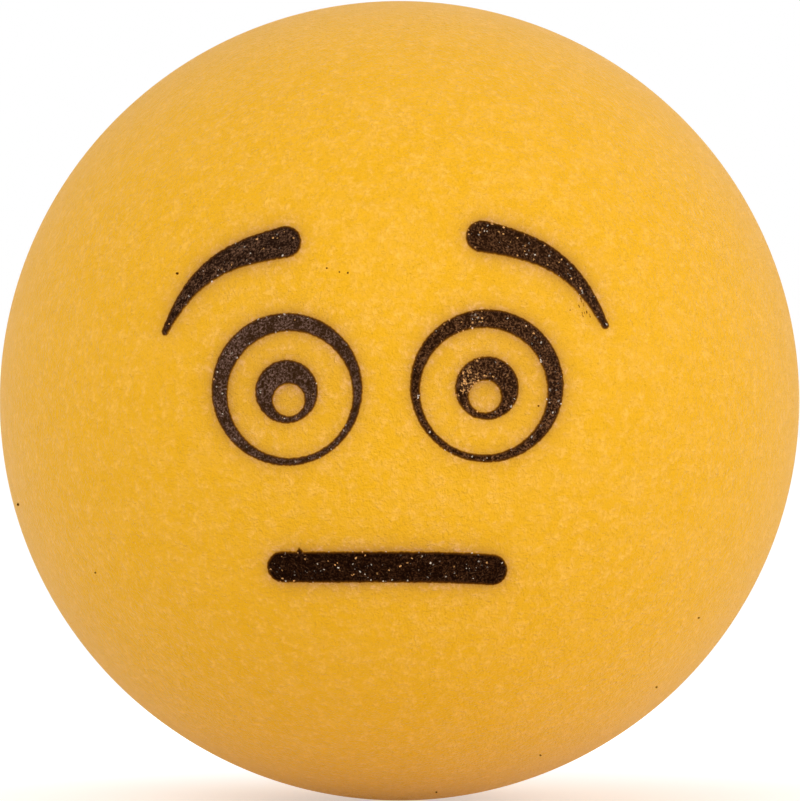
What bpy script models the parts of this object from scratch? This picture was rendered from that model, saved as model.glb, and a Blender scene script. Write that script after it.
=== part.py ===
"""Table tennis ball, 40 mm across, with a printed face. A Blender 4.5 script in metres, +Z up.

The ball is two moulded half-shells that meet in the XZ plane. The front half-shell carries an inner
lip that plugs into a rebate in the rear one, and a stepped film of solvent cement joins the two. The
face is seven thin films of ink on the front half-shell. The origin is the ball's centre, and the face
looks along -Y.
"""
import math

import bmesh
import bpy
from mathutils import Vector

# ---- The ball -------------------------------------------------------------------------------------
BALL_RADIUS = 0.0200
WALL = 0.0005
AROUND = 64  # facets round the ball
ARC_SPANS = 16  # facets from the seam to a pole

# ---- The stepped joint between the half-shells ----------------------------------------------------
RIM_GAP = 0.00008  # between the two rims, along the ball's axis
STEP_GAP = 0.00006  # between the lip and the rebate, across the wall
LIP_LENGTH = 0.0012
CLEARANCE = 0.00001  # between the cement and a shell
BEAD_RADIUS = 0.00028  # cement squeezed out inside the ball
BEAD_SPANS = 5

# ---- The print, in the plane that touches the ball's front: x to the right, z up -------------------
INK_THICKNESS = 0.00003
INK_LIFT = 0.00001  # keeps the film's facets clear of the shell's
INK_ACROSS = 2  # facets across a stroke
EYE_SPREAD = 0.00470  # from the face's centre line to an eye
EYE_HEIGHT = 0.00062
RING_RADIUS = 0.00358
RING_OPENING = 0.00298
OPENING_SHIFT = (-0.00015, -0.00025)  # towards the nose, and down
PUPIL_RADIUS = 0.00148
PUPIL_SHIFT = (0.0, -0.00011)
GLINT_RADIUS = 0.00076
GLINT_SHIFT = (-0.00010, -0.00039)  # from the pupil's centre
RING_FACETS = 40
PUPIL_FACETS = 24
BROW_CURVE = ((0.00464, 0.00762), (0.00764, 0.00704), (0.00908, 0.00622), (0.01042, 0.00342))
BROW_HALF_WIDTH = (0.00075, 0.00016)  # at the nose, and at the tip
BROW_SWELL = 0.00003  # extra half-width half-way along
BROW_MIDDLE = (0.0080, 0.0060)
BROW_TURN = math.radians(-0.8)  # both brows are turned the same way about their middles
BROW_SHIFT = -0.00009  # and moved along x
BROW_FACETS = 14
MOUTH_CURVE = ((-0.00491, -0.00788), (-0.00164, -0.00788), (0.00167, -0.00770), (0.00495, -0.00792))
MOUTH_HALF_WIDTH = 0.00073
MOUTH_FACETS = 12
CAP_FACETS = 4  # in each quarter turn of a stroke's rounded end
FACE_ROLL = math.radians(1.0)  # the pad set the eyes and brows down slightly turned
MOUTH_ROLL = math.radians(-0.5)

# ---- Materials: colour, roughness, metallic ---------------------------------------------------------
MATERIALS = {
    "ball_plastic": ((0.93, 0.49, 0.035, 1.0), 0.55, 0.0),
    "seam_cement": ((0.86, 0.47, 0.07, 1.0), 0.40, 0.0),
    "print_ink": ((0.030, 0.017, 0.011, 1.0), 0.35, 0.0),
}


def clear_scene():
    for obj in list(bpy.data.objects):
        bpy.data.objects.remove(obj)


def make_materials():
    for name, (colour, roughness, metallic) in MATERIALS.items():
        material = bpy.data.materials.new(name)
        material.use_nodes = True
        shader = material.node_tree.nodes["Principled BSDF"]
        shader.inputs["Base Color"].default_value = colour
        shader.inputs["Roughness"].default_value = roughness
        shader.inputs["Metallic"].default_value = metallic
        material.diffuse_color = colour


def add_object(name, bm, material, parent):
    mesh = bpy.data.meshes.new(name)
    bm.to_mesh(mesh)
    bm.free()
    mesh.shade_smooth()
    mesh.set_sharp_from_angle(angle=math.radians(35))
    mesh.materials.append(bpy.data.materials[material])
    obj = bpy.data.objects.new(name, mesh)
    obj.parent = parent
    bpy.context.scene.collection.objects.link(obj)
    return obj


# ---- Turned pieces: a profile of (y, distance from the Y axis), spun about Y ------------------------
def arc(radius, y_start, y_end, spans):
    """Points on a sphere's outline from one height along Y to another, at even angles."""
    start = math.asin(y_start / radius)
    end = math.asin(y_end / radius)
    angles = [start + (end - start) * i / spans for i in range(spans + 1)]
    return [(radius * math.sin(a), radius * math.cos(a)) for a in angles]


def turn(name, profile, closed, material, parent):
    bm = bmesh.new()
    points = [bm.verts.new((rho, y, 0.0)) for y, rho in profile]
    edges = [bm.edges.new(pair) for pair in zip(points, points[1:])]
    if closed:
        edges.append(bm.edges.new((points[-1], points[0])))
    bmesh.ops.spin(
        bm,
        geom=points + edges,
        cent=(0, 0, 0),
        axis=(0, 1, 0),
        angle=math.tau,
        steps=AROUND,
        use_merge=True,
    )
    bmesh.ops.remove_doubles(bm, verts=bm.verts, dist=1e-7)
    bmesh.ops.recalc_face_normals(bm, faces=bm.faces)
    return add_object(name, bm, material, parent)


INNER_RADIUS = BALL_RADIUS - WALL
LIP_OUTSIDE = BALL_RADIUS - (WALL + STEP_GAP) / 2
REBATE = LIP_OUTSIDE + STEP_GAP
FRONT_RIM = -RIM_GAP / 2
REAR_RIM = RIM_GAP / 2
LIP_END = LIP_LENGTH
SHOULDER = LIP_LENGTH + RIM_GAP
NEAR_JOINT = 0.0006  # a short first facet beside the joint keeps the inner wall round there


def front_half_shell(parent):
    """Rim at -Y of the seam, then a lip that runs past it into the rear half-shell."""
    outside = arc(BALL_RADIUS, -BALL_RADIUS, FRONT_RIM, ARC_SPANS)
    lip_outside = arc(LIP_OUTSIDE, FRONT_RIM, LIP_END, 2)
    lip_inside = arc(INNER_RADIUS, LIP_END, LIP_END - NEAR_JOINT, 1)
    inside = arc(INNER_RADIUS, LIP_END - NEAR_JOINT, -INNER_RADIUS, ARC_SPANS)
    profile = outside + lip_outside + lip_inside + inside[1:]
    turn("front_half_shell", profile, False, "ball_plastic", parent)


def rear_half_shell(parent):
    """Rim at +Y of the seam, with a rebate inside it that takes the lip."""
    inside = arc(INNER_RADIUS, INNER_RADIUS, SHOULDER + NEAR_JOINT, ARC_SPANS)
    near_joint = arc(INNER_RADIUS, SHOULDER + NEAR_JOINT, SHOULDER, 1)
    rebate = arc(REBATE, SHOULDER, REAR_RIM, 2)
    outside = arc(BALL_RADIUS, REAR_RIM, BALL_RADIUS, ARC_SPANS)
    profile = inside + near_joint[1:] + rebate + outside
    turn("rear_half_shell", profile, False, "ball_plastic", parent)


def seam_cement(parent):
    """The film that fills the stepped joint: its outer edge is the seam line, its inner edge a bead."""
    film_front = FRONT_RIM + CLEARANCE
    film_rear = REAR_RIM - CLEARANCE
    end_front = LIP_END + CLEARANCE
    end_rear = SHOULDER - CLEARANCE
    over_lip = arc(LIP_OUTSIDE + CLEARANCE, film_front, end_front, 2)
    under_rebate = arc(REBATE - CLEARANCE, end_rear, film_rear, 2)
    bead_centre = (end_front + end_rear) / 2
    bead_base = arc(INNER_RADIUS - CLEARANCE, bead_centre, bead_centre + BEAD_RADIUS, 1)[1][1]
    turns = [math.pi * i / BEAD_SPANS for i in range(BEAD_SPANS + 1)]
    bead = [
        (bead_centre - BEAD_RADIUS * math.cos(a), bead_base - BEAD_RADIUS * math.sin(a)) for a in turns
    ]
    neck = [(end_front, bead_base), (end_rear, bead_base)]
    outer_edge = [(film_rear, BALL_RADIUS), (film_front, BALL_RADIUS)]
    profile = over_lip + neck[:1] + bead + neck[1:] + under_rebate + outer_edge
    turn("seam_cement", profile, True, "seam_cement", parent)


# ---- Printed marks: a sheet between two edges, wrapped on the ball and given the ink's thickness ----
def on_ball(x, z, radius):
    """The point of a sphere straight behind (x, z) of the print's plane, moved out to radius."""
    front = Vector((x, -math.sqrt(BALL_RADIUS**2 - x * x - z * z), z))
    return front.normalized() * radius


def rolled(x, z, roll):
    return x * math.cos(roll) - z * math.sin(roll), x * math.sin(roll) + z * math.cos(roll)


def ink_film(name, stations, closed, roll, parent):
    """stations holds pairs of (x, z) points, one pair for each place along the mark's two edges."""
    bm = bmesh.new()
    rows = []
    for (ax, az), (bx, bz) in stations:
        shares = [i / INK_ACROSS for i in range(INK_ACROSS + 1)]
        flat = [rolled(ax + (bx - ax) * s, az + (bz - az) * s, roll) for s in shares]
        rows.append([bm.verts.new(on_ball(x, z, BALL_RADIUS + INK_LIFT)) for x, z in flat])
    following = rows[1:] + (rows[:1] if closed else [])
    for row, after in zip(rows, following):
        for i in range(INK_ACROSS):
            bm.faces.new((row[i], after[i], after[i + 1], row[i + 1]))
    bmesh.ops.remove_doubles(bm, verts=bm.verts, dist=1e-7)
    bmesh.ops.recalc_face_normals(bm, faces=bm.faces)
    bm.faces.ensure_lookup_table()
    if bm.faces[0].normal.dot(bm.faces[0].calc_center_median()) < 0:
        bmesh.ops.reverse_faces(bm, faces=bm.faces)
    film = add_object(name, bm, "print_ink", parent)
    thickness = film.modifiers.new("ink thickness", "SOLIDIFY")
    thickness.thickness = INK_THICKNESS
    thickness.offset = 1.0
    return film


def circle_point(centre, radius, angle):
    return centre[0] + radius * math.cos(angle), centre[1] + radius * math.sin(angle)


def ring_stations(centre, radius, hole_centre, hole_radius, facets):
    """A disc with a round hole that may sit off its centre."""
    angles = [math.tau * i / facets for i in range(facets)]
    return [
        (circle_point(centre, radius, a), circle_point(hole_centre, hole_radius, a)) for a in angles
    ]


def stroke_stations(centre_line, half_width, facets):
    """A stroke with rounded ends. centre_line(t) gives (x, z), and half_width(t) its half-width."""

    def station(t, along, width):
        x, z = centre_line(t)
        step = 0.001
        x0, z0 = centre_line(max(t - step, 0.0))
        x1, z1 = centre_line(min(t + step, 1.0))
        length = math.hypot(x1 - x0, z1 - z0)
        tx, tz = (x1 - x0) / length, (z1 - z0) / length
        x += tx * along
        z += tz * along
        return (x - tz * width, z + tx * width), (x + tz * width, z - tx * width)

    quarter = [math.pi / 2 * i / CAP_FACETS for i in range(CAP_FACETS)]
    start, end = half_width(0.0), half_width(1.0)
    first_cap = [station(0.0, -start * math.cos(a), start * math.sin(a)) for a in quarter]
    body = [station(i / facets, 0.0, half_width(i / facets)) for i in range(facets + 1)]
    last_cap = [station(1.0, end * math.cos(a), end * math.sin(a)) for a in reversed(quarter)]
    return first_cap + body + last_cap


def shifted(centre, shift, side):
    """shift's first number is away from the nose, so it turns round on the left side."""
    return centre[0] + side * shift[0], centre[1] + shift[1]


def eye(side, label, parent):
    centre = (side * EYE_SPREAD, EYE_HEIGHT)
    opening = shifted(centre, OPENING_SHIFT, side)
    pupil = shifted(centre, PUPIL_SHIFT, side)
    glint = shifted(pupil, GLINT_SHIFT, side)
    ring = ring_stations(centre, RING_RADIUS, opening, RING_OPENING, RING_FACETS)
    dot = ring_stations(pupil, PUPIL_RADIUS, glint, GLINT_RADIUS, PUPIL_FACETS)
    ink_film(f"eye_ring_print_{label}", ring, True, FACE_ROLL, parent)
    ink_film(f"pupil_print_{label}", dot, True, FACE_ROLL, parent)


def on_curve(points, t):
    """The x and z at t from 0 to 1 along a cubic Bezier curve."""
    u = 1 - t
    weights = (u**3, 3 * u * u * t, 3 * u * t * t, t**3)
    return tuple(sum(w * p[axis] for w, p in zip(weights, points)) for axis in (0, 1))


def brow(side, label, parent):
    def centre_line(t):
        x, z = on_curve(BROW_CURVE, t)
        middle_x, middle_z = BROW_MIDDLE
        from_middle = rolled(side * (x - middle_x), z - middle_z, BROW_TURN)
        return side * middle_x + BROW_SHIFT + from_middle[0], middle_z + from_middle[1]

    def half_width(t):
        nose, tip = BROW_HALF_WIDTH
        return nose + (tip - nose) * t + 4 * BROW_SWELL * t * (1 - t)

    stations = stroke_stations(centre_line, half_width, BROW_FACETS)
    ink_film(f"brow_print_{label}", stations, False, FACE_ROLL, parent)


def mouth(parent):
    stations = stroke_stations(
        lambda t: on_curve(MOUTH_CURVE, t), lambda t: MOUTH_HALF_WIDTH, MOUTH_FACETS
    )
    ink_film("mouth_print", stations, False, MOUTH_ROLL, parent)


def main():
    clear_scene()
    make_materials()
    ball = bpy.data.objects.new("ball", None)
    bpy.context.scene.collection.objects.link(ball)
    front_half_shell(ball)
    rear_half_shell(ball)
    seam_cement(ball)
    for side, label in ((-1, "left"), (1, "right")):
        eye(side, label, ball)
        brow(side, label, ball)
    mouth(ball)


main()
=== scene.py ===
"""Looks of the table tennis ball: fine half-shells, their seam, and a printed face of real ink films."""
import math

import bpy
import numpy as np
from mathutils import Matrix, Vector, noise


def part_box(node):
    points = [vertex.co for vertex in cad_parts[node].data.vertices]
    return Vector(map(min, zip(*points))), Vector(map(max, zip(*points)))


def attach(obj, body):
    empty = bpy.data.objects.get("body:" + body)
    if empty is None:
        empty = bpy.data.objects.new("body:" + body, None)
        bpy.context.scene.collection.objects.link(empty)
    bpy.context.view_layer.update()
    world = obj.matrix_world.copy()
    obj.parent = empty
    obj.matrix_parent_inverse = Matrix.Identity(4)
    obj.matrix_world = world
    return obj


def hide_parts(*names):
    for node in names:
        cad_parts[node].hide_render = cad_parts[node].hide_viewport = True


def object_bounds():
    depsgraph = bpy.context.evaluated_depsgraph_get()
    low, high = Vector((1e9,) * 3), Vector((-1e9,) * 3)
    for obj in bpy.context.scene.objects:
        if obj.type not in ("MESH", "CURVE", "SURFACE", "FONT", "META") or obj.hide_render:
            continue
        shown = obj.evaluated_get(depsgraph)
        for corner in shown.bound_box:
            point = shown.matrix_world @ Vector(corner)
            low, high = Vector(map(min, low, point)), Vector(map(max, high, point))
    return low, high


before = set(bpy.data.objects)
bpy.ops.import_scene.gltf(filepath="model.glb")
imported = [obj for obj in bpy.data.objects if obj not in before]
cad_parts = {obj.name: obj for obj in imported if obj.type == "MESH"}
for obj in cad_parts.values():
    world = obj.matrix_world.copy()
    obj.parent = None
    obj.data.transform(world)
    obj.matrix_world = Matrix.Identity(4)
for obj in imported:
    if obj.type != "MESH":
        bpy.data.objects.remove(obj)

CAD_LOW, CAD_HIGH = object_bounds()
BODY = "root"
WHITE = (1.0, 1.0, 1.0, 1.0)
BLACK = (0.0, 0.0, 0.0, 1.0)

# ---- The ball and its stepped joint, as the CAD has them ---------------------------------------------
SHELL_LOW, SHELL_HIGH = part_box("rear_half_shell")
RADIUS = (SHELL_HIGH.x - SHELL_LOW.x) / 2
WALL = 0.0005
RIM_GAP = 0.00008
STEP_GAP = 0.00006
LIP_LENGTH = 0.0012
CLEARANCE = 0.00001
BEAD_RADIUS = 0.00028
INNER_RADIUS = RADIUS - WALL
LIP_OUTSIDE = RADIUS - (WALL + STEP_GAP) / 2
REBATE = LIP_OUTSIDE + STEP_GAP
SHOULDER = LIP_LENGTH + RIM_GAP

# ---- How finely its turned pieces are made -----------------------------------------------------------
RIM_BREAK = 0.00003  # the rims' outer edges are rounded by this much
RIM_LEAD = 3 * RIM_BREAK  # the outside's last ring lies this far from the rim
CROWN_LOW = 0.5 * RIM_BREAK  # the cement's outer face lies this far inside the ball's surface at its sides
CROWN_HIGH = 0.2 * RIM_BREAK  # and this far in its middle
SEGMENTS = 320  # round the ball
POLE_SIZE = 1e-9  # a ring of a smaller radius is one vertex
FACE_REACH = math.radians(42)  # the print lies within this angle of the ball's front pole
FACE_EDGE = -RADIUS * math.cos(FACE_REACH)
FACE_SPANS = 90
SIDE_SPANS = 46
INNER_SPANS = 32
STEP_SPANS = 6
BEAD_SPANS = 12
EDGE_SPANS = 4

# ---- The print, as seen from straight ahead: x to the right, z up ------------------------------------
EYE_SPREAD = 0.00470  # from the face's middle to each eye's
EYE_HEIGHT = 0.00062
RING_RADIUS = 0.00358
RING_OPENING = 0.00298
RING_OPENING_SHIFT = (-0.00015, -0.00025)
PUPIL_RADIUS = 0.00148
PUPIL_SHIFT = (0.0, -0.00011)
PUPIL_OPENING = 0.00076
PUPIL_OPENING_SHIFT = (-0.00010, -0.00039)
BROW_CURVE = ((0.00464, 0.00762), (0.00764, 0.00704), (0.00908, 0.00622), (0.01042, 0.00342))
BROW_HALF_WIDTH = (0.00075, 0.00016)  # at its end by the nose and at its tip
BROW_SWELL = 0.00003  # how much wider than a straight taper it is half way along
BROW_PIVOT = (0.0080, 0.0060)
BROW_TURN = math.radians(-0.8)  # both brows are turned this way about their pivots
BROW_SHIFT = -0.00009  # and moved sideways by this
BROW_DISCS = 90  # that draw a brow, set along its centre line
MOUTH_CURVE = ((-0.00491, -0.00788), (-0.00164, -0.00788), (0.00167, -0.00770), (0.00495, -0.00792))
MOUTH_HALF_WIDTH = 0.00073
MOUTH_DISCS = 120
BURR = ((-0.00414, -0.00716), (-0.00417, -0.00694))  # a spike of ink on the mouth's upper edge
BURR_HALF_WIDTHS = (0.00016, 0.00001)
BURR_DISCS = 12
FACE_ROLL = math.radians(1.0)  # the eyes and brows were set down turned by this
MOUTH_ROLL = math.radians(-0.5)
STRAY_SPECKS = (  # x, z and radius
    (-0.01006, 0.00604, 0.00008), (-0.00285, 0.00623, 0.00005), (-0.00224, 0.00605, 0.00005),
    (-0.00184, 0.00602, 0.000065), (0.00710, -0.00025, 0.00005), (0.00858, 0.00427, 0.000034),
    (-0.01437, -0.00831, 0.000055), (-0.01871, -0.00513, 0.00009), (0.01280, -0.01404, 0.00007),
    (0.01483, -0.01057, 0.00005), (0.00711, -0.01734, 0.00006), (0.00197, -0.01930, 0.00005),
)
SMEARS = (  # x and z of each short smear by the right brow's tip, and its length
    (0.00908, 0.00486, 0.00026), (0.00900, 0.00451, 0.00010), (0.00920, 0.00460, 0.00012),
    (0.00915, 0.00417, 0.00020), (0.00926, 0.00418, 0.00010), (0.00935, 0.00424, 0.00012),
    (0.00950, 0.00407, 0.00012),
)
SMEAR_HALF_WIDTH = 0.000025
SMEAR_LEAN = 0.25  # sideways travel of a smear for its fall
SMEAR_DISCS = 16

# ---- The ink's films ---------------------------------------------------------------------------------
INK_GRID = 0.000045  # spacing of a mark's vertices
FINE_GRID = 0.00002  # and of a stray speck's
LEAST_COVER = 0.06  # of the spacing: the edge cuts no grid line nearer to a vertex
INK_HEIGHT = 0.000026
MOUTH_INK_HEIGHT = 0.000032
INK_ROOT = 0.000002  # the film's underside is this far inside the shell
INK_EDGE = 0.00007  # how far in from its edge the film reaches its full height
EDGE_SHARPNESS = 0.7  # below 1, the film's edge rises faster than a quarter wave
INK_LUMPS = 0.000009
LUMP_LAYERS = ((0.6, 0.00013), (0.6, 0.00045))  # the share and the size of each noise in the lumps
INK_BLEED = 0.00003  # how far the wet ink ran past its drawn line
EDGE_WANDER = 0.00003  # how far the edge strays from its line
WANDER_LAYERS = ((0.6, 0.00028), (0.9, 0.00010))
INK_FADE = 0.00018  # how far in from its edge the film reaches its full colour
STRAY_FADE = 0.00010  # the same for the stray specks and smears

# ---- The shade in the plastic beside the ink ---------------------------------------------------------
SHADE_REACH = 0.0005  # how far light spreads inside the plastic, and so how far the ink dims it
SHADE_CELL = 0.00005  # the shade is worked out on a square grid of this spacing
SHADE_HALF = 0.0135  # from minus to plus this, which takes in the whole print
SHADE_STRENGTH = 2

# ---- The grids that the films are cut from, and the seeds of their noise -----------------------------
RING_REACH = (0.0038, 0.0038)  # how far the grid goes from its middle, sideways and up or down
PUPIL_REACH = (0.0018, 0.0018)
BROW_REACH = (0.0039, 0.0035)
BROW_MIDDLE = (0.0073, 0.0058)  # of the right brow's grid
MOUTH_REACH = (0.0059, 0.0012)
SPECK_REACH = (0.0002, 0.0002)
SMEAR_REACH = (0.0002, 0.0003)
SIDE_SEEDS = {-1: 0, 1: 20}  # the first seed on the left and on the right
SEED_STEP = 4  # each film takes this many seeds
MOUTH_SEED = 41
SPECK_SEED = 50
SMEAR_SEED = 82

# ---- Wear of the ink, as the share of pinholes in it -------------------------------------------------
WEAR = {  # all over a piece
    "left_eye_ring": 0.005, "left_pupil": 0.005, "left_brow": 0.02,
    "right_eye_ring": 0.005, "right_pupil": 0.02, "right_brow": 0.02,
    "mouth_bar": 0.014, "stray_ink": 0.0,
}
WORN_PATCHES = {  # where a piece is worn more: its centre, its radius, and how much more
    "right_eye_ring": ((0.0036, 0.0037), 0.0012, 0.14),
    "right_pupil": ((0.00386, 0.00086), 0.00062, 0.95),
    "right_brow": ((0.0050, 0.0077), 0.0014, 0.06),
}


# ---- Shapes of the marks: each is a function that says how far inside its outline a point lies -------
def turned_back(x, z, roll):
    """Coordinates of the points in the print's own axes, before it was set down turned by roll."""
    return x * math.cos(roll) + z * math.sin(roll), z * math.cos(roll) - x * math.sin(roll)


def disc(centre, radius):
    return lambda x, z: radius - np.hypot(x - centre[0], z - centre[1])


def disc_with_hole(centre, radius, hole_centre, hole_radius):
    """A disc with a round hole in it, set down turned by FACE_ROLL."""

    def inside(x, z):
        x, z = turned_back(x, z, FACE_ROLL)
        return np.minimum(disc(centre, radius)(x, z), -disc(hole_centre, hole_radius)(x, z))

    return inside


def stroke(points, half_widths, roll):
    """A stroke with round ends, drawn by discs set close together along its centre line."""

    def inside(x, z):
        x, z = turned_back(x, z, roll)
        best = np.full(np.shape(x), -1.0)
        for point, half_width in zip(points, half_widths):
            best = np.maximum(best, disc(point, half_width)(x, z))
        return best

    return inside


def straight_stroke(start, end, half_widths, discs):
    t = np.linspace(0, 1, discs)
    points = np.outer(1 - t, start) + np.outer(t, end)
    return stroke(points, half_widths[0] * (1 - t) + half_widths[1] * t, 0.0)


def shifted(centre, shift, side):
    """A centre moved by a shift, whose x is mirrored on the left."""
    return centre[0] + side * shift[0], centre[1] + shift[1]


def eye_shapes(side):
    centre = (side * EYE_SPREAD, EYE_HEIGHT)
    ring_opening = shifted(centre, RING_OPENING_SHIFT, side)
    pupil_centre = shifted(centre, PUPIL_SHIFT, side)
    pupil_opening = shifted(pupil_centre, PUPIL_OPENING_SHIFT, side)
    ring = disc_with_hole(centre, RING_RADIUS, ring_opening, RING_OPENING)
    pupil = disc_with_hole(pupil_centre, PUPIL_RADIUS, pupil_opening, PUPIL_OPENING)
    return ring, pupil


def on_curve(points, t):
    """Points along a cubic Bezier curve."""
    weights = np.stack([(1 - t) ** 3, 3 * (1 - t) ** 2 * t, 3 * (1 - t) * t**2, t**3], axis=1)
    return weights @ np.array(points)


def brow_shape(side):
    t = np.linspace(0, 1, BROW_DISCS)
    from_pivot = on_curve(BROW_CURVE, t) - BROW_PIVOT
    x, z = turned_back(side * from_pivot[:, 0], from_pivot[:, 1], -BROW_TURN)
    points = np.stack([x + side * BROW_PIVOT[0] + BROW_SHIFT, z + BROW_PIVOT[1]], axis=1)
    nose, tip = BROW_HALF_WIDTH
    return stroke(points, nose + (tip - nose) * t + 4 * BROW_SWELL * t * (1 - t), FACE_ROLL)


def mouth_shape():
    t = np.linspace(0, 1, MOUTH_DISCS)
    bar = stroke(on_curve(MOUTH_CURVE, t), np.full(len(t), MOUTH_HALF_WIDTH), MOUTH_ROLL)
    burr = straight_stroke(*BURR, BURR_HALF_WIDTHS, BURR_DISCS)
    return lambda x, z: np.maximum(bar(x, z), burr(x, z))


# ---- Mesh helpers ------------------------------------------------------------------------------------
SEED_SPREAD = (7.13, 3.71, 5.39)  # how far apart in the noise's space two seeds next to each other lie


def add_piece(name, vertices, faces, material, node=None):
    mesh = bpy.data.meshes.new(name)
    mesh.from_pydata(vertices, [], faces)
    mesh.validate()
    mesh.shade_smooth()
    mesh.materials.append(material)
    piece = bpy.data.objects.new(name, mesh)
    bpy.context.scene.collection.objects.link(piece)
    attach(piece, BODY)
    if node:
        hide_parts(node)
    return piece


def set_attribute(piece, name, values):
    attribute = piece.data.attributes.new(name, "FLOAT", "POINT")
    attribute.data.foreach_set("value", np.asarray(values, np.float32))


def speckle(points, size, seed):
    """Smooth noise from -1 to 1 at each point, with features of about the size given."""
    offset = Vector([seed * spread for spread in SEED_SPREAD])
    return np.array([noise.noise(Vector(p) / size + offset) for p in points])


def layered(points, layers, seed):
    """The sum of noises of the shares and sizes given, each with a seed of its own."""
    return sum(share * speckle(points, size, seed + i) for i, (share, size) in enumerate(layers))


# ---- Turned pieces -----------------------------------------------------------------------------------
def arc(radius, y_start, y_end, spans):
    """A profile's points of (y, distance from the Y axis) along a circle round the ball's centre."""
    start = math.asin(y_start / radius)
    end = math.asin(y_end / radius)
    angles = [start + (end - start) * i / spans for i in range(spans + 1)]
    return [(radius * math.sin(a), radius * math.cos(a)) for a in angles]


def turned(profile, closed):
    """Vertices and faces of a profile of (y, distance from the Y axis) turned about Y.

    The profile runs rearwards on its outer side and forwards on its inner one, so faces point out."""
    turns = np.arange(SEGMENTS) * math.tau / SEGMENTS
    vertices, rings = [], []
    for y, rho in profile:
        if rho < POLE_SIZE:
            rings.append([len(vertices)] * SEGMENTS)
            vertices.append((0.0, y, 0.0))
        else:
            rings.append(list(range(len(vertices), len(vertices) + SEGMENTS)))
            vertices += [(rho * math.cos(t), y, rho * math.sin(t)) for t in turns]
    faces = []
    for ring, after in zip(rings, rings[1:] + (rings[:1] if closed else [])):
        for i in range(SEGMENTS):
            j = (i + 1) % SEGMENTS
            corners = [ring[i], after[i], after[j], ring[j]]
            faces.append(list(dict.fromkeys(corners)))
    return vertices, faces


def broken_edge(side):
    """The rounded outer edge of a rim: side is -1 for the front half-shell's and 1 for the rear's."""
    rim = side * RIM_GAP / 2
    edge = []
    for i in range(EDGE_SPANS + 1):
        turn = math.pi / 2 * i / EDGE_SPANS
        y = rim + side * RIM_BREAK * (1 - math.sin(turn))
        edge.append((y, RADIUS - RIM_BREAK * (1 - math.cos(turn))))
    return edge if side < 0 else edge[::-1]


def front_profile():
    rim = -RIM_GAP / 2
    face = arc(RADIUS, -RADIUS, FACE_EDGE, FACE_SPANS)
    side = arc(RADIUS, FACE_EDGE, rim - RIM_LEAD, SIDE_SPANS)
    lip_outside = arc(LIP_OUTSIDE, rim, LIP_LENGTH, STEP_SPANS)
    inside = arc(INNER_RADIUS, LIP_LENGTH, -INNER_RADIUS, INNER_SPANS)
    return face + side[1:] + broken_edge(-1) + lip_outside + inside


def rear_profile():
    rim = RIM_GAP / 2
    inside = arc(INNER_RADIUS, INNER_RADIUS, SHOULDER, INNER_SPANS)
    rebate = arc(REBATE, SHOULDER, rim, STEP_SPANS)
    outside = arc(RADIUS, rim + RIM_LEAD, RADIUS, FACE_SPANS)
    return inside + rebate + broken_edge(1) + outside


def cement_profile():
    front, rear = -RIM_GAP / 2 + CLEARANCE, RIM_GAP / 2 - CLEARANCE
    end_front, end_rear = LIP_LENGTH + CLEARANCE, SHOULDER - CLEARANCE
    middle = (end_front + end_rear) / 2
    base = math.sqrt((INNER_RADIUS - CLEARANCE) ** 2 - (middle + BEAD_RADIUS) ** 2)
    crown = [(front, RADIUS - CROWN_LOW), (0.0, RADIUS - CROWN_HIGH), (rear, RADIUS - CROWN_LOW)]
    under_rebate = arc(REBATE - CLEARANCE, rear, end_rear, STEP_SPANS)
    turns = [math.pi * i / BEAD_SPANS for i in range(BEAD_SPANS + 1)]
    bead = [(middle + BEAD_RADIUS * math.cos(a), base - BEAD_RADIUS * math.sin(a)) for a in turns]
    over_lip = arc(LIP_OUTSIDE + CLEARANCE, end_front, front, STEP_SPANS)
    return crown + under_rebate + [(end_rear, base)] + bead + [(end_front, base)] + over_lip


# ---- Ink films: the part of a fine grid that lies inside the mark, wrapped on the ball ---------------
def on_face(x, z):
    """The point of the front of the ball at x and z."""
    return x, -math.sqrt(RADIUS**2 - x * x - z * z), z


def on_ball(x, z, height):
    """The points of the front of the ball at x and z, raised above its surface by a height."""
    y = -np.sqrt(RADIUS**2 - x**2 - z**2)
    return np.stack([x, y, z], axis=1) * ((RADIUS + height) / RADIUS)[:, None]


def cut_grid(cover):
    """Polygons of a grid's cells where cover is above 0, cut along its zero line.

    Returns the corner points used, the points where grid edges are cut, and the polygons, which
    index them in that order."""
    rows, columns = cover.shape
    corners, cuts = {}, {}
    polygons = []

    def cut(a, b):
        key = (min(a, b), max(a, b))
        return cuts.setdefault(key, len(cuts))

    for i in range(rows - 1):
        for j in range(columns - 1):
            cell = [(i, j), (i, j + 1), (i + 1, j + 1), (i + 1, j)]
            filled = [cover[c] > 0 for c in cell]
            if not any(filled):
                continue
            polygon = []
            for k in range(4):
                here, there = cell[k], cell[(k + 1) % 4]
                if filled[k]:
                    polygon.append(("corner", corners.setdefault(here, len(corners))))
                if filled[k] != filled[(k + 1) % 4]:
                    polygon.append(("cut", cut(here, there)))
            polygons.append(polygon)
    return corners, cuts, polygons


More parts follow.
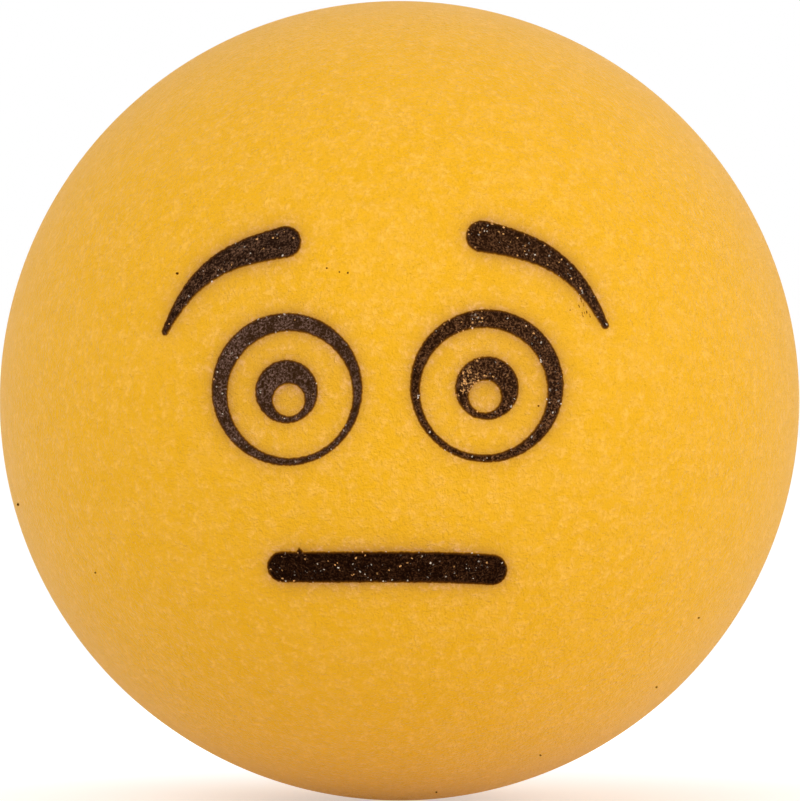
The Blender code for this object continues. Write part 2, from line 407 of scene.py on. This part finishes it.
def ink_film(inside, middle, reach, seed, grid=INK_GRID, height=INK_HEIGHT, fade=INK_FADE):
    """A closed film over the part of the print where inside is above 0, within reach of a middle.

    Returns its vertices and faces, how deep each vertex lies inside the mark as a share of fade, and
    the x and z of the place in the print that each vertex stands for."""
    xs = np.arange(middle[0] - reach[0], middle[0] + reach[0], grid)
    zs = np.arange(middle[1] - reach[1], middle[1] + reach[1], grid)
    x, z = np.meshgrid(xs, zs)
    cover = inside(x, z) + INK_BLEED
    near = cover > -3 * EDGE_WANDER  # the edge never strays as far as this
    points = np.stack([x[near], np.zeros(near.sum()), z[near]], axis=1)
    cover[near] += EDGE_WANDER * layered(points, WANDER_LAYERS, seed)
    least = LEAST_COVER * grid
    cover[np.abs(cover) < least] = least
    corners, cuts, polygons = cut_grid(cover)

    rows, columns = np.array(list(corners)).T
    corner_x, corner_z, corner_cover = x[rows, columns], z[rows, columns], cover[rows, columns]
    ends = np.array([a + b for a, b in cuts])
    a, b = (ends[:, 0], ends[:, 1]), (ends[:, 2], ends[:, 3])
    share = cover[a] / (cover[a] - cover[b])
    cut_x = x[a] + (x[b] - x[a]) * share
    cut_z = z[a] + (z[b] - z[a]) * share

    flat = np.stack([corner_x, np.zeros(len(rows)), corner_z], axis=1)
    rise = np.sin(np.clip(corner_cover / INK_EDGE, 0, 1) * math.pi / 2) ** EDGE_SHARPNESS
    lumps = layered(flat, LUMP_LAYERS, seed + len(WANDER_LAYERS))
    thickness = rise * (height + INK_LUMPS * lumps)
    top = on_ball(corner_x, corner_z, thickness)
    under = on_ball(corner_x, corner_z, np.full(len(rows), -INK_ROOT))
    edge = on_ball(cut_x, cut_z, np.full(len(ends), -INK_ROOT))
    count, cut_start = len(rows), 2 * len(rows)
    faces = []
    for polygon in polygons:
        above = [i if kind == "corner" else cut_start + i for kind, i in polygon]
        below = [count + i if kind == "corner" else cut_start + i for kind, i in polygon]
        faces += [above, below[::-1]]
    depth = np.clip(corner_cover / fade, 0, 1)
    depth = np.concatenate([depth, depth, np.zeros(len(ends))])
    places = np.concatenate([corner_x, corner_x, cut_x]), np.concatenate([corner_z, corner_z, cut_z])
    return np.concatenate([top, under, edge]), faces, depth, places


def wear_at(name, x, z):
    """The share of pinholes in a piece's ink at x and z."""
    wear = np.full(len(x), WEAR[name])
    if name in WORN_PATCHES:
        centre, radius, more = WORN_PATCHES[name]
        wear += more * np.exp(-((x - centre[0]) ** 2 + (z - centre[1]) ** 2) / radius**2)
    return wear


def add_print(name, films, material, node=None):
    """One piece out of one or more ink films."""
    vertices, faces, depths, wears = [], [], [], []
    for film_vertices, film_faces, depth, places in films:
        start = len(vertices)
        vertices += film_vertices.tolist()
        faces += [[start + i for i in face] for face in film_faces]
        depths += depth.tolist()
        wears += wear_at(name, *places).tolist()
    piece = add_piece(name, vertices, faces, material, node)
    set_attribute(piece, "ink_depth", depths)
    set_attribute(piece, "ink_wear", wears)


# ---- Materials ---------------------------------------------------------------------------------------
class Shader:
    """A material's node tree with one Principled BSDF, and a short way to add nodes to it."""

    def __init__(self, name):
        self.material = bpy.data.materials.new(name)
        self.material.use_nodes = True
        self.tree = self.material.node_tree
        self.principled = self.tree.nodes["Principled BSDF"]

    def node(self, kind, settings=None, **inputs):
        made = self.tree.nodes.new("ShaderNode" + kind)
        for key, value in (settings or {}).items():
            setattr(made, key, value)
        for key, value in inputs.items():
            self.feed(made.inputs[key.replace("_", " ")], value)
        return made

    def feed(self, socket, value):
        if isinstance(value, bpy.types.NodeSocket):
            self.tree.links.new(value, socket)
        else:
            socket.default_value = value

    def set(self, **inputs):
        for key, value in inputs.items():
            self.feed(self.principled.inputs[key.replace("_", " ")], value)

    def place(self):
        return self.node("TexCoord").outputs["Object"]

    def noise(self, vector, size, detail, roughness=0.5):
        """Noise from 0 to 1 with features of about the size given, in the vector's own units."""
        made = self.node("TexNoise", Vector=vector, Scale=1 / size, Detail=detail, Roughness=roughness)
        return made.outputs["Fac"]

    def span(self, value, low, high, to_low=0.0, to_high=1.0):
        """A smooth step: to_low where the value is low, and to_high where it is high."""
        made = self.node("MapRange", {"interpolation_type": "SMOOTHSTEP"}, Value=value)
        for key, number in (("From Min", low), ("From Max", high), ("To Min", to_low), ("To Max", to_high)):
            made.inputs[key].default_value = number
        return made.outputs["Result"]

    def math(self, operation, a, b):
        made = self.node("Math", {"operation": operation})
        self.feed(made.inputs[0], a)
        self.feed(made.inputs[1], b)
        return made.outputs[0]

    def mix(self, share, a, b):
        """Colour a with a share of colour b over it."""
        made = self.node("Mix", {"data_type": "RGBA"})
        self.feed(made.inputs["Factor"], share)
        self.feed(made.inputs[6], a)
        self.feed(made.inputs[7], b)
        return made.outputs[2]

    def attribute(self, name):
        return self.node("Attribute", {"attribute_name": name}).outputs["Fac"]

    def distance(self, vector, centre):
        made = self.node("VectorMath", {"operation": "DISTANCE"})
        self.feed(made.inputs[0], vector)
        self.feed(made.inputs[1], centre)
        return made.outputs["Value"]

    def ramp(self, value, stops):
        """Colours at places from 0 to 1."""
        made = self.node("ValToRGB", Fac=value)
        elements = made.color_ramp.elements
        while len(elements) < len(stops):
            elements.new(1.0)
        for element, (place, colour) in zip(elements, stops):
            element.position = place
            element.color = colour
        return made.outputs["Color"]

    def bent(self, vector, size, amount):
        """Coordinates pushed about by noise, so that what is drawn with them comes out uneven."""
        push = self.node("TexNoise", Vector=vector, Scale=1 / size, Detail=1.0).outputs["Color"]
        made = self.node("VectorMath", {"operation": "MULTIPLY_ADD"})
        for socket, value in zip(made.inputs, (push, (amount, amount, amount), vector)):
            self.feed(socket, value)
        return made.outputs[0]

    def dots(self, vector, share, size, radius, fading):
        """Uneven dots in a share of the cells of a random pattern, whose size is given in metres.

        A dot's radius is in cells. The more fading, the fewer strong dots."""
        uneven = self.bent(vector, DOT_BEND[0] * size, DOT_BEND[1] * size)
        cells = self.node("TexVoronoi", Vector=uneven, Scale=1 / size)
        chance = self.node("SeparateColor", Color=cells.outputs["Color"])
        chosen = self.math("LESS_THAN", chance.outputs["Red"], share)
        spot = self.span(cells.outputs["Distance"], DOT_EDGE[0] * radius, DOT_EDGE[1] * radius)
        strength = self.math("POWER", chance.outputs["Green"], fading)
        return self.math("MULTIPLY", self.math("MULTIPLY", spot, chosen), strength)

    def stretched(self, vector, rotation, along, across):
        """Coordinates squeezed so that noise of size 1 becomes streaks along the rotated X axis."""
        rotated = self.node("Mapping", Vector=vector, Rotation=rotation).outputs[0]
        return self.node("Mapping", Vector=rotated, Scale=(1 / along, 1 / across, 1 / across)).outputs[0]

    def streaks(self, vector, turns, size, low, high):
        """Short streaks of noise of the length and width in size, laid in each of the directions given."""
        total = None
        for rotation in turns:
            streak = self.span(self.noise(self.stretched(vector, rotation, *size), 1.0, 1.0), low, high)
            total = streak if total is None else self.math("MAXIMUM", total, streak)
        return total

    def weighed(self, values, weights):
        """The sum of two values, each times its weight."""
        first, second = (self.math("MULTIPLY", value, weight) for value, weight in zip(values, weights))
        return self.math("ADD", first, second)


# ---- The plastic -------------------------------------------------------------------------------------
# A noise has its size in metres, its detail and its roughness. A span has the values of what it is made
# from where it starts and where it is full, and what it comes to at both, if that isn't 0 and 1.
PLASTIC = (0.896, 0.442, 0.0005, 1.0)
PLASTIC_PALE = (0.995, 0.528, 0.060, 1.0)
PLASTIC_MILKY = (0.870, 0.434, 0.170, 1.0)
PLASTIC_SHADED = (0.455, 0.210, 0.030, 1.0)  # beside ink
PLASTIC_SHADED_PALE = (0.615, 0.310, 0.165, 1.0)
CLOUD_NOISE = (0.0016, 2.0)
CLOUD_SPAN = (0.35, 0.75, 0.0, 0.16)
BLOTCH_NOISE = (0.00055, 2.0, 0.6)
CLUSTER_SPAN = (0.42, 0.66, 0.05, 1.0)
MILKY_SHARE = 0.10
GRAIN_BEND = (0.0009, 0.0002)  # the size and amount of a bend that hides the grid noise is made on
GRAIN_NOISE = (0.00022, 2.0, 0.6)
FINE_NOISE = (0.00010, 1.0)
FLECK_SPAN = (0.42, 0.70, 0.10, 1.0)
FIBRE_TURNS = ((0.3, 0.2, 0.1), (0.2, 1.3, 0.4), (1.1, 0.5, -0.9), (-0.4, 0.9, 1.2))
FIBRE_SIZE = (0.0007, 0.00013)  # length and width
FIBRE_SPAN = (0.62, 0.80)
FIBRE_SHARE = 0.35
PLASTIC_RELIEF = (0.6, 0.4)  # the weights of the grain and the fine noise
PLASTIC_BUMP = 0.00018
PLASTIC_ROUGHNESS_SPAN = (0.2, 0.8, 0.62, 0.74)


def plastic_material(name, shaded):
    """Matt plastic with clustered paler flecks and short fibres, duller beside ink where it is shaded."""
    s = Shader(name)
    place = s.place()
    cloud = s.noise(place, *CLOUD_NOISE)
    blotch = s.noise(place, *BLOTCH_NOISE)
    uneven = s.bent(place, *GRAIN_BEND)
    grain = s.noise(uneven, *GRAIN_NOISE)
    fine = s.noise(uneven, *FINE_NOISE)
    fibres = s.streaks(place, FIBRE_TURNS, FIBRE_SIZE, *FIBRE_SPAN)
    colour = s.mix(s.span(cloud, *CLOUD_SPAN), PLASTIC, PLASTIC_PALE)
    clusters = s.span(blotch, *CLUSTER_SPAN)
    flecks = s.math("MULTIPLY", s.span(grain, *FLECK_SPAN), clusters)
    colour = s.mix(s.math("MULTIPLY", clusters, MILKY_SHARE), colour, PLASTIC_MILKY)
    colour = s.mix(flecks, colour, PLASTIC_PALE)
    colour = s.mix(s.math("MULTIPLY", fibres, FIBRE_SHARE), colour, PLASTIC_PALE)
    if shaded:
        beside_ink = s.mix(flecks, PLASTIC_SHADED, PLASTIC_SHADED_PALE)
        colour = s.mix(s.attribute("ink_shade"), colour, beside_ink)
    relief = s.weighed((grain, fine), PLASTIC_RELIEF)
    bump = s.node("Bump", Strength=1.0, Distance=PLASTIC_BUMP, Height=relief)
    s.set(
        Base_Color=colour,
        Roughness=s.span(grain, *PLASTIC_ROUGHNESS_SPAN),
        Normal=bump.outputs[0],
        Specular_IOR_Level=0.2,
        Sheen_Weight=0.27,
        Sheen_Roughness=0.32,
    )
    return s.material


CEMENT = (0.80, 0.40, 0.03, 1.0)
CEMENT_PALE = (0.88, 0.46, 0.05, 1.0)
CEMENT_NOISE = (0.0006, 2.0)
CEMENT_PALE_SPAN = (0.3, 0.7)
CEMENT_ROUGHNESS_SPAN = (0.2, 0.8, 0.35, 0.5)
CEMENT_BUMP = 0.00003


def cement_material():
    """The ball's own plastic, dissolved and dried again: a little glossier and lumpy."""
    s = Shader("seam_cement_dried")
    beads = s.noise(s.place(), *CEMENT_NOISE)
    bump = s.node("Bump", Strength=0.5, Distance=CEMENT_BUMP, Height=beads)
    s.set(
        Base_Color=s.mix(s.span(beads, *CEMENT_PALE_SPAN), CEMENT, CEMENT_PALE),
        Roughness=s.span(beads, *CEMENT_ROUGHNESS_SPAN),
        Normal=bump.outputs[0],
    )
    return s.material


# ---- The ink -----------------------------------------------------------------------------------------
INK_RUN_OUT = (0.61, 0.28, 0.022, 1.0)  # the last of the ink at a mark's edge, over the plastic
INK_THINNED = (0.25, 0.10, 0.006, 1.0)
INK_THIN = (0.085, 0.026, 0.001, 1.0)
RIM_COLOURS = ((0.0, INK_RUN_OUT), (0.16, INK_THINNED), (0.34, INK_THIN), (1.0, INK_THIN))
BODY_SPAN = (0.2, 0.9)  # the depths between which the edge's colour gives way to the ink's own
CLOT_NOISE = (0.00040, 2.0, 0.6)
CLOT_SPAN = (0.34, 0.60, 0.20, 1.1)
GRIT_NOISE = (0.00010, 3.0, 0.75)
GRIT_SPAN = (0.42, 0.68)
PALEST_POINT_SPAN = (0.001, 0.010, 1.2, 0.65)  # by the distance from the point round which most grains are pale
SCRATCH = (0.140, 0.066, 0.030, 1.0)
SCRATCH_TURNS = ((0.0, 0.3, 0.0), (0.0, -0.9, 0.0), (0.0, 1.4, 0.0))
SCRATCH_SIZE = (0.00050, 0.00009)
SCRATCH_SPAN = (0.66, 0.78)
PINHOLE = (0.85, 0.42, 0.14, 1.0)
PINHOLE_DOTS = (0.00011, 0.45, 0.4)  # the size of the pattern's cells, the radius and the fading
GLINT = (0.85, 0.72, 0.58, 1.0)
GLINT_DOTS = (0.00014, 0.32, 1.5)
GLINT_NOISE = (0.0009, 1.0)
GLINT_SPAN = (0.44, 0.62)
GLINT_RANGE = (0.2, 2)  # at the two ends of that span there are this many times the usual share of glints
DOT_BEND = (0.7, 1.1)  # the size and amount, in cells, of the bend that makes dots uneven
DOT_EDGE = (1.3, 0.5)  # where a dot starts and where it is full, in radii
INK_RELIEF = (0.5, 0.5)  # the weights of the clots and the grit
INK_BUMP = 0.00003
INK_ROUGHNESS_SPAN = (0.25, 0.75, 0.5, 0.3)
INKS = {  # glints is the share of bright dots; palest_point is the x and z round which most grains are pale
    "left": {
        "dark": (0.029, 0.010, 0.0010, 1.0), "pale": (0.180, 0.100, 0.074, 1.0),
        "gloss": 0.03, "glints": 0.08, "palest_point": (-0.0085, 0.003),
    },
    "brow": {
        "dark": (0.012, 0.003, 0.0002, 1.0), "pale": (0.145, 0.070, 0.037, 1.0),
        "gloss": 0.02, "glints": 0.10, "palest_point": (-0.010, 0.004),
    },
    "right": {
        "dark": (0.014, 0.0035, 0.0002, 1.0), "pale": (0.180, 0.078, 0.032, 1.0),
        "gloss": 0.02, "glints": 0.09, "palest_point": (0.008, -0.002),
    },
    "heavy": {
        "dark": (0.007, 0.0015, 0.0002, 1.0), "pale": (0.052, 0.019, 0.007, 1.0),
        "gloss": 0.01, "glints": 0.11, "palest_point": (0.005, -0.008), "scratches": 0.45,
    },
    "stray": {
        "dark": (0.030, 0.005, 0.0001, 1.0), "pale": (0.100, 0.030, 0.001, 1.0),
        "gloss": 0.0, "glints": 0.0, "palest_point": (0.0, 0.0),
    },
}


def ink_material(name, dark, pale, gloss, glints, palest_point, scratches=0.0):
    """Ink in dark clots and paler grains, more of them round a given point, with browner
    edges, pinholes where it is worn, glints, and short scratches where there are any."""
    s = Shader(name)
    place = s.place()
    depth = s.attribute("ink_depth")
    clot = s.noise(place, *CLOT_NOISE)
    grit = s.noise(place, *GRIT_NOISE)
    grains = s.math("MULTIPLY", s.span(grit, *GRIT_SPAN), s.span(clot, *CLOT_SPAN))
    # more pale grains round a given point: only the grains' share changes there, not the film's height
    from_palest_point = s.distance(place, on_face(*palest_point))
    grains = s.math("MULTIPLY", grains, s.span(from_palest_point, *PALEST_POINT_SPAN))
    body = s.mix(grains, dark, pale)
    if scratches:
        scratched = s.streaks(place, SCRATCH_TURNS, SCRATCH_SIZE, *SCRATCH_SPAN)
        body = s.mix(s.math("MULTIPLY", scratched, scratches), body, SCRATCH)
    colour = s.mix(s.span(depth, *BODY_SPAN), s.ramp(depth, RIM_COLOURS), body)
    colour = s.mix(s.dots(place, s.attribute("ink_wear"), *PINHOLE_DOTS), colour, PINHOLE)
    few, many = (times * glints for times in GLINT_RANGE)
    share = s.span(s.noise(place, *GLINT_NOISE), *GLINT_SPAN, few, many)
    colour = s.mix(s.dots(place, share, *GLINT_DOTS), colour, GLINT)
    relief = s.weighed((clot, grit), INK_RELIEF)
    bump = s.node("Bump", Strength=0.7, Distance=INK_BUMP, Height=relief)
    s.set(
        Base_Color=colour,
        Roughness=s.span(grit, *INK_ROUGHNESS_SPAN),
        Normal=bump.outputs[0],
        Specular_IOR_Level=gloss,
    )
    return s.material


# ---- The object --------------------------------------------------------------------------------------
def shade_round(shapes):
    """How much ink lies round a point, as a function of its x and z: light in the plastic is lost to it."""
    side = np.arange(-SHADE_HALF, SHADE_HALF, SHADE_CELL)
    x, z = np.meshgrid(side, side)
    inked = np.max([inside(x, z) for inside in shapes], axis=0) > 0
    distance = np.hypot(x, z)
    spread = np.exp(-distance / SHADE_REACH) / (distance + SHADE_CELL / 2)
    spread = np.fft.rfft2(np.fft.ifftshift(spread / spread.sum()))
    cover = np.fft.irfft2(np.fft.rfft2(inked) * spread, inked.shape)

    def shade(x, z):
        column, row = (np.clip((c + SHADE_HALF) / SHADE_CELL, 0, len(side) - 2) for c in (x, z))
        j, i = column.astype(int), row.astype(int)
        right, up = column - j, row - i
        below = cover[i, j] * (1 - right) + cover[i, j + 1] * right
        above = cover[i + 1, j] * (1 - right) + cover[i + 1, j + 1] * right
        return below * (1 - up) + above * up

    return shade


def make_shells(shapes):
    front_plastic = plastic_material("ball_plastic_front", True)
    rear_plastic = plastic_material("ball_plastic_rear", False)
    vertices, faces = turned(front_profile(), False)
    front = add_piece(
        "front_shell_moulding", vertices, faces, front_plastic, "front_half_shell"
    )
    points = np.array(vertices)
    shade = np.minimum(SHADE_STRENGTH * shade_round(shapes)(points[:, 0], points[:, 2]), 1.0)
    shade[points[:, 1] > FACE_EDGE] = 0.0
    set_attribute(front, "ink_shade", shade)
    vertices, faces = turned(rear_profile(), False)
    add_piece("rear_shell_moulding", vertices, faces, rear_plastic, "rear_half_shell")
    vertices, faces = turned(cement_profile(), True)
    add_piece("seam_line", vertices, faces, cement_material(), "seam_cement")


def stray_films():
    """Stray specks beside the marks, and the short smears by the right brow's tip."""
    films = []
    for i, (x, z, radius) in enumerate(STRAY_SPECKS):
        blob = disc((x, z), radius - INK_BLEED)
        films.append(ink_film(blob, (x, z), SPECK_REACH, SPECK_SEED + i, FINE_GRID, fade=STRAY_FADE))
    for i, (x, z, length) in enumerate(SMEARS):
        end = (x + SMEAR_LEAN * length, z - length)
        smear = straight_stroke((x, z), end, (0.0, SMEAR_HALF_WIDTH - INK_BLEED), SMEAR_DISCS)
        middle = (x, z - length / 2)
        films.append(ink_film(smear, middle, SMEAR_REACH, SMEAR_SEED + i, FINE_GRID, fade=STRAY_FADE))
    return films


def side_marks(side):
    """The marks of one side: each one's name, shape, middle and reach."""
    ring, pupil = eye_shapes(side)
    eye = (side * EYE_SPREAD, EYE_HEIGHT + side * EYE_SPREAD * math.sin(FACE_ROLL))
    return (
        ("eye_ring", ring, eye, RING_REACH),
        ("pupil", pupil, eye, PUPIL_REACH),
        ("brow", brow_shape(side), (side * BROW_MIDDLE[0], BROW_MIDDLE[1]), BROW_REACH),
    )


def make_print():
    """Makes the print's pieces, and returns the shapes of its marks."""
    inks = {name: ink_material("pad_print_ink_" + name, **looks) for name, looks in INKS.items()}
    shapes = []
    for side, label in ((-1, "left"), (1, "right")):
        for i, (mark, shape, middle, reach) in enumerate(side_marks(side)):
            film = ink_film(shape, middle, reach, SIDE_SEEDS[side] + SEED_STEP * i)
            ink = inks["brow" if (side, mark) == (-1, "brow") else label]
            add_print(f"{label}_{mark}", [film], ink, f"{mark}_print_{label}")
            shapes.append(shape)
    mouth = mouth_shape()
    film = ink_film(mouth, (0.0, MOUTH_CURVE[0][1]), MOUTH_REACH, MOUTH_SEED, height=MOUTH_INK_HEIGHT)
    add_print("mouth_bar", [film], inks["heavy"], "mouth_print")
    add_print("stray_ink", stray_films(), inks["stray"])
    return shapes + [mouth]


# ---- The studio --------------------------------------------------------------------------------------
CAMERA_DISTANCE = 0.30
CAMERA_TURN = math.radians(1.75)
LENS = 268.9  # in millimetres, as is the sensor
SENSOR_WIDTH = 36.0
CLIP_START = 0.01
FRAME_SHIFT = (0.0006, 0.0003)
SOFTBOX_DISTANCE = 0.9
SOFTBOXES = (  # the direction of each from the ball, its width and its power in watts
    ("right_softbox", (0.82, -0.55, 0.18), 0.8, 3.86),
    ("upper_left_softbox", (-0.44, -0.63, 0.64), 0.6, 1.97),
    ("rear_softbox", (0.0, 1.0, 0.0), 0.3, 1.30),
)
ROOM_LIGHT = (0.665, 0.82)  # from the camera's side and from the backdrop
FLOOR_HALF = 3.0
FLOOR_LIT = (0.045, 0.13)  # distances from the ball's centre between which the floor comes to glow
FLOOR_GLOW = (0.19, 1.05)  # how strongly it does, near the ball and far off
FLOOR_SHOWN = (0.021, 0.06)  # the same as the camera sees it: a white table with a faint shadow
FLOOR_WHITE_GLOW = (0.45, 1.0)
FLOOR_COLOUR = (0.72, 0.72, 0.72, 1.0)


def make_camera():
    data = bpy.data.cameras.new("camera")
    data.lens = LENS
    data.sensor_width = SENSOR_WIDTH
    data.shift_x, data.shift_y = FRAME_SHIFT
    data.clip_start = CLIP_START
    camera = bpy.data.objects.new("camera", data)
    camera.location = (
        CAMERA_DISTANCE * math.sin(CAMERA_TURN),
        -CAMERA_DISTANCE * math.cos(CAMERA_TURN),
        0.0,
    )
    camera.rotation_euler = (math.pi / 2, 0.0, CAMERA_TURN)
    bpy.context.scene.collection.objects.link(camera)
    bpy.context.scene.camera = camera


def add_softbox(name, direction, size, watts):
    data = bpy.data.lights.new(name, "AREA")
    data.shape = "SQUARE"
    data.size = size
    data.energy = watts
    light = bpy.data.objects.new(name, data)
    light.location = Vector(direction).normalized() * SOFTBOX_DISTANCE
    light.rotation_euler = (-Vector(direction)).to_track_quat("-Z", "Y").to_euler()
    light.visible_camera = False
    bpy.context.scene.collection.objects.link(light)


def make_room():
    """A white room, shown white, whose light is stronger from the backdrop than from the camera's side."""
    world = bpy.data.worlds.new("white_room")
    bpy.context.scene.world = world
    world.use_nodes = True
    tree = world.node_tree
    lit = tree.nodes["Background"]
    shown = tree.nodes.new("ShaderNodeBackground")
    for node in (lit, shown):
        node.inputs["Color"].default_value = WHITE
    direction = tree.nodes.new("ShaderNodeSeparateXYZ")
    tree.links.new(tree.nodes.new("ShaderNodeTexCoord").outputs["Generated"], direction.inputs[0])
    graded = tree.nodes.new("ShaderNodeMapRange")
    graded.inputs["To Min"].default_value = ROOM_LIGHT[0]
    graded.inputs["To Max"].default_value = ROOM_LIGHT[1]
    tree.links.new(direction.outputs["Y"], graded.inputs["Value"])
    tree.links.new(graded.outputs[0], lit.inputs["Strength"])
    path = tree.nodes.new("ShaderNodeLightPath")
    choose = tree.nodes.new("ShaderNodeMixShader")
    tree.links.new(path.outputs["Is Camera Ray"], choose.inputs[0])
    tree.links.new(lit.outputs[0], choose.inputs[1])
    tree.links.new(shown.outputs[0], choose.inputs[2])
    tree.links.new(choose.outputs[0], tree.nodes["World Output"].inputs["Surface"])


def make_floor():
    """A white sweep: a plain matt floor near the ball that glows evenly further off, as a lit cove does."""
    mesh = bpy.data.meshes.new("floor")
    corners = [(-1, -1), (1, -1), (1, 1), (-1, 1)]
    mesh.from_pydata([(x * FLOOR_HALF, y * FLOOR_HALF, CAD_LOW.z) for x, y in corners], [], [(0, 1, 2, 3)])
    floor = bpy.data.objects.new("floor", mesh)
    bpy.context.scene.collection.objects.link(floor)
    s = Shader("pale_floor")
    distance = s.node("VectorMath", {"operation": "LENGTH"})
    s.feed(distance.inputs[0], s.place())
    far = s.span(distance.outputs["Value"], *FLOOR_LIT)
    lit = s.span(distance.outputs["Value"], *FLOOR_LIT, *FLOOR_GLOW)
    shown = s.span(distance.outputs["Value"], *FLOOR_SHOWN, *FLOOR_WHITE_GLOW)
    seen = s.node("LightPath").outputs["Is Camera Ray"]
    s.set(
        Base_Color=s.mix(far, FLOOR_COLOUR, BLACK),
        Roughness=0.9,
        Emission_Color=WHITE,
        Emission_Strength=s.math("MAXIMUM", lit, s.math("MULTIPLY", seen, shown)),
        Specular_IOR_Level=0.0,
    )
    mesh.materials.append(s.material)


make_camera()
make_shells(make_print())
make_floor()
for softbox in SOFTBOXES:
    add_softbox(*softbox)
make_room()
bpy.context.scene.view_settings.view_transform = "Standard"
